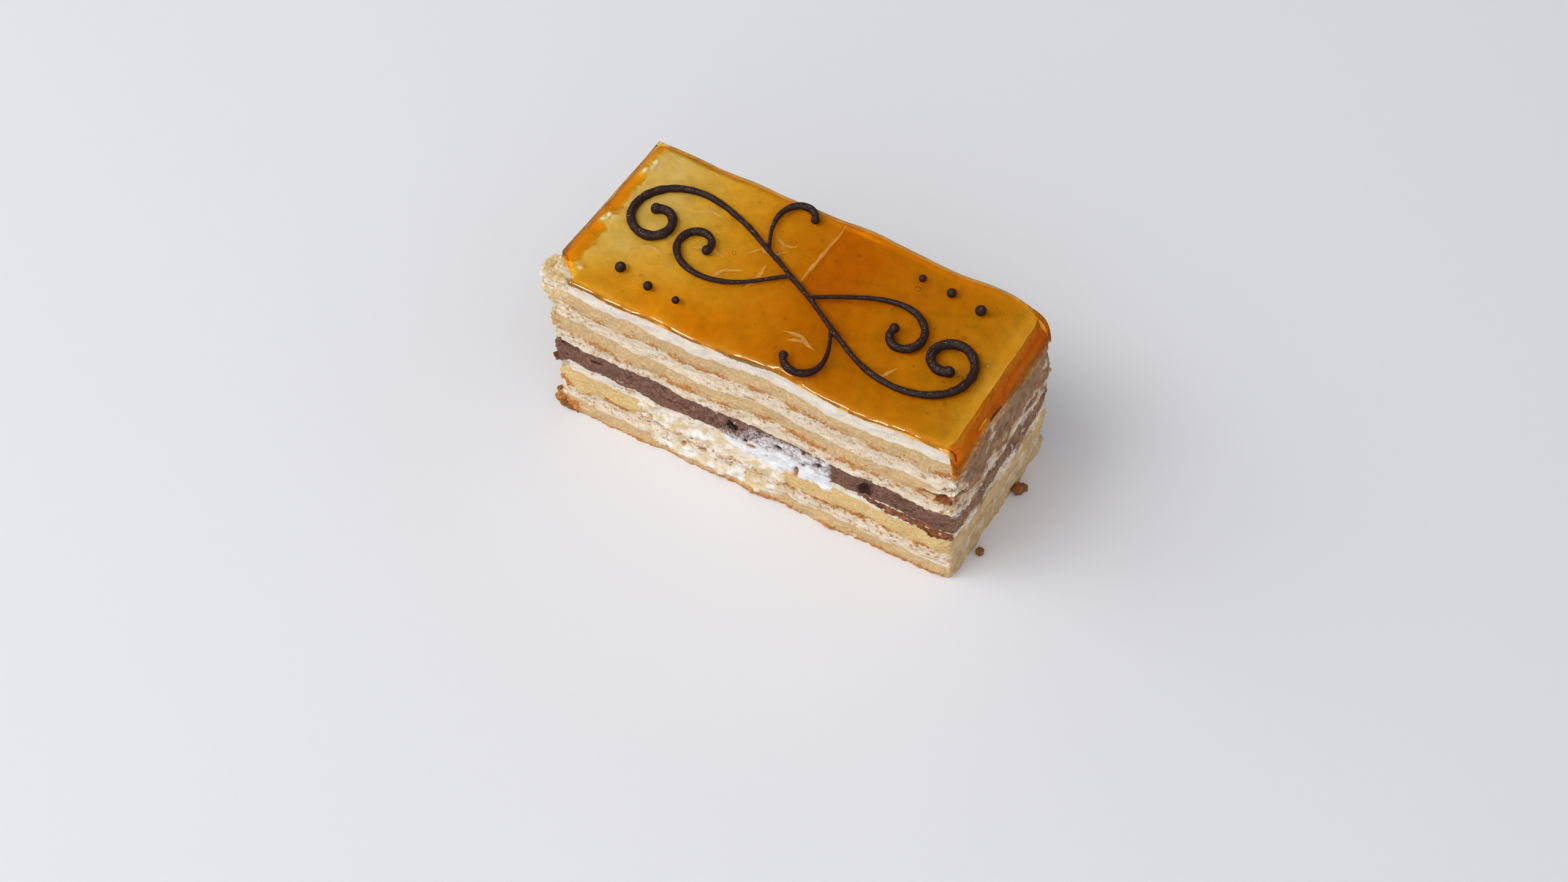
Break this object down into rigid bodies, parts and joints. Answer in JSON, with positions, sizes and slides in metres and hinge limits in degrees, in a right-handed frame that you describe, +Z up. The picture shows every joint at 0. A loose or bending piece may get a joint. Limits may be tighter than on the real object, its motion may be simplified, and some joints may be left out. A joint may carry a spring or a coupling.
{
  "type": "layered caramel cake slice",
  "caption": "Oblong slice of tall layered cake: pale, yellow and cocoa sponge with cream between, a glossy caramel glaze running down one end, and a piped chocolate scroll on top.",
  "frame": {"origin": "under the middle of the slice, on the plate", "axes": "+X along the length towards the glazed end, +Y from the layered front face to the back, +Z up"},
  "size_m": [0.114, 0.0516, 0.0576],
  "materials": {
    "pale_sponge": "open crumb, matte",
    "yellow_sponge": "open crumb, matte",
    "cocoa_sponge": "open crumb, matte",
    "cream": "soft satin, dragged by the knife",
    "caramel_glaze": "wet gloss, amber; the piped scroll is dark chocolate"
  },
  "bodies": {
    "root": {"base_sponge": "pale_sponge", "lower_cream": "cream", "lower_sponge": "yellow_sponge", "thin_cream": "cream", "cocoa_sponge": "cocoa_sponge", "speckled_cream": "cream", "middle_sponge": "pale_sponge", "middle_cream": "cream", "upper_sponge": "pale_sponge", "top_cream": "cream", "caramel_glaze": "caramel_glaze"}
  },
  "joints": []
}
